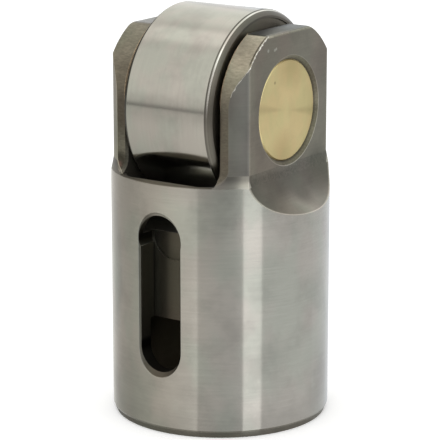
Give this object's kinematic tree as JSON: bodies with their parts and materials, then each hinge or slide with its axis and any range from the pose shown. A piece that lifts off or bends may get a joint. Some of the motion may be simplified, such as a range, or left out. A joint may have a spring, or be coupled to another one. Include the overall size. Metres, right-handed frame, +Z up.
{
  "type": "roller tappet",
  "caption": "Roller tappet: ground steel guide body with an open foot and a guide slot, and a steel roller on a bronze pin between two flat-sided ears.",
  "frame": {"origin": "centre of the open foot's end face, on the body's axis", "axes": "+Z up the body's axis towards the roller, X along the roller pin, -Y out of the guide slot"},
  "size_m": [0.035, 0.035, 0.0658],
  "materials": {
    "body_steel": "ground, satin",
    "roller_steel": "fine ground, semi-gloss",
    "pin_bronze": "turned, dull"
  },
  "bodies": {
    "follower": {"tappet_body": "body_steel", "roller_pin": "pin_bronze"},
    "roller": {"roller": "roller_steel"}
  },
  "joints": [
    {"name": "roller_spin", "type": "hinge", "parent": "follower", "child": "roller", "pos_m": [0, 0, 0.0504], "axis": [1, 0, 0], "continuous": true}
  ]
}
